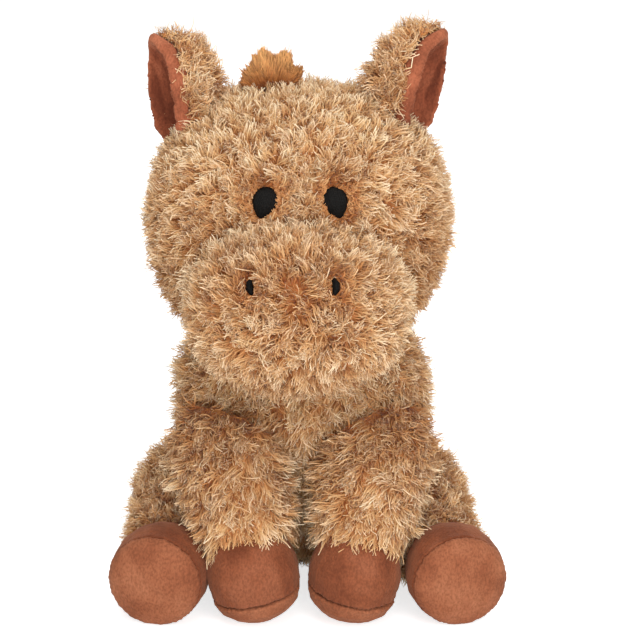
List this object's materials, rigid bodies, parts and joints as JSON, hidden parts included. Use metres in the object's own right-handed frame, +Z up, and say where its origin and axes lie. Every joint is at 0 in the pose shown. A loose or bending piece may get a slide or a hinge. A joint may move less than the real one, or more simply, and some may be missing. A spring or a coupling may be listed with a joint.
{
  "type": "plush horse",
  "caption": "Sitting plush horse in curly golden pile, with velour hooves, cupped ears, a straight-pile forelock, mane and tail, and embroidered eyes.",
  "frame": {"origin": "centre of the seat panel, on the surface that the toy sits on", "axes": "+Z up through the head, -Y the way the horse faces, +X the horse's own left"},
  "size_m": [0.1861, 0.2109, 0.2728],
  "materials": {
    "plush": "long curly pile",
    "hoof_velour": "short pile velour",
    "ear_velour": "short pile velour",
    "straight_pile": "dense straight pile",
    "black_thread": "satin stitch",
    "pouch_cotton": "plain weave"
  },
  "bodies": {
    "root": {"body": "plush", "seat_panel": "plush", "bean_pouch": "pouch_cotton"},
    "head": {"head": "plush", "muzzle": "plush", "forelock": "straight_pile", "mane": "straight_pile", "eye_left": "black_thread", "eye_right": "black_thread", "nostril_left": "black_thread", "nostril_right": "black_thread"},
    "tail": {"tail": "straight_pile"},
    "ear_left": {"ear_left": "plush", "ear_lining_left": "ear_velour"},
    "front_leg_left": {"front_leg_left": "plush", "front_hoof_left": "hoof_velour", "front_sole_left": "hoof_velour"},
    "hind_leg_left": {"hind_leg_left": "plush", "hind_hoof_left": "hoof_velour", "hind_sole_left": "hoof_velour"},
    "ear_right": {"ear_right": "plush", "ear_lining_right": "ear_velour"},
    "front_leg_right": {"front_leg_right": "plush", "front_hoof_right": "hoof_velour", "front_sole_right": "hoof_velour"},
    "hind_leg_right": {"hind_leg_right": "plush", "hind_hoof_right": "hoof_velour", "hind_sole_right": "hoof_velour"}
  },
  "joints": [
    {"name": "head_nod", "type": "hinge", "parent": "root", "child": "head", "pos_m": [0, -0.054, 0.1175], "axis": [-1, 0, 0], "range_deg": [-5, 16], "stiffness_Nm_per_rad": 3},
    {"name": "ear_fold_left", "type": "hinge", "parent": "head", "child": "ear_left", "pos_m": [0.04696, -0.048, 0.22832], "axis": [0.4485, 0.8803, -0.1544], "range_deg": [-14, 14], "stiffness_Nm_per_rad": 0.25},
    {"name": "ear_fold_right", "type": "hinge", "parent": "head", "child": "ear_right", "pos_m": [-0.05469, -0.048, 0.2241], "axis": [0.4519, -0.8869, 0.0961], "range_deg": [-14, 14], "stiffness_Nm_per_rad": 0.25},
    {"name": "shoulder_swing_left", "type": "hinge", "parent": "root", "child": "front_leg_left", "pos_m": [0.0365, -0.06895, 0.08192], "axis": [-1, 0, 0], "range_deg": [0, 45], "stiffness_Nm_per_rad": 1.2},
    {"name": "shoulder_swing_right", "type": "hinge", "parent": "root", "child": "front_leg_right", "pos_m": [-0.0365, -0.06899, 0.08192], "axis": [-1, 0, 0], "range_deg": [0, 45], "stiffness_Nm_per_rad": 1.2},
    {"name": "hip_spread_left", "type": "hinge", "parent": "root", "child": "hind_leg_left", "pos_m": [0.042, 0.008, 0.028], "axis": [0, 0, 1], "range_deg": [0, 30], "stiffness_Nm_per_rad": 1.2},
    {"name": "hip_spread_right", "type": "hinge", "parent": "root", "child": "hind_leg_right", "pos_m": [-0.046, 0.008, 0.028], "axis": [0, 0, -1], "range_deg": [0, 30], "stiffness_Nm_per_rad": 1.2},
    {"name": "tail_lift", "type": "hinge", "parent": "root", "child": "tail", "pos_m": [0, 0.03742, 0.05], "axis": [1, 0, 0], "range_deg": [0, 60], "stiffness_Nm_per_rad": 0.12}
  ]
}
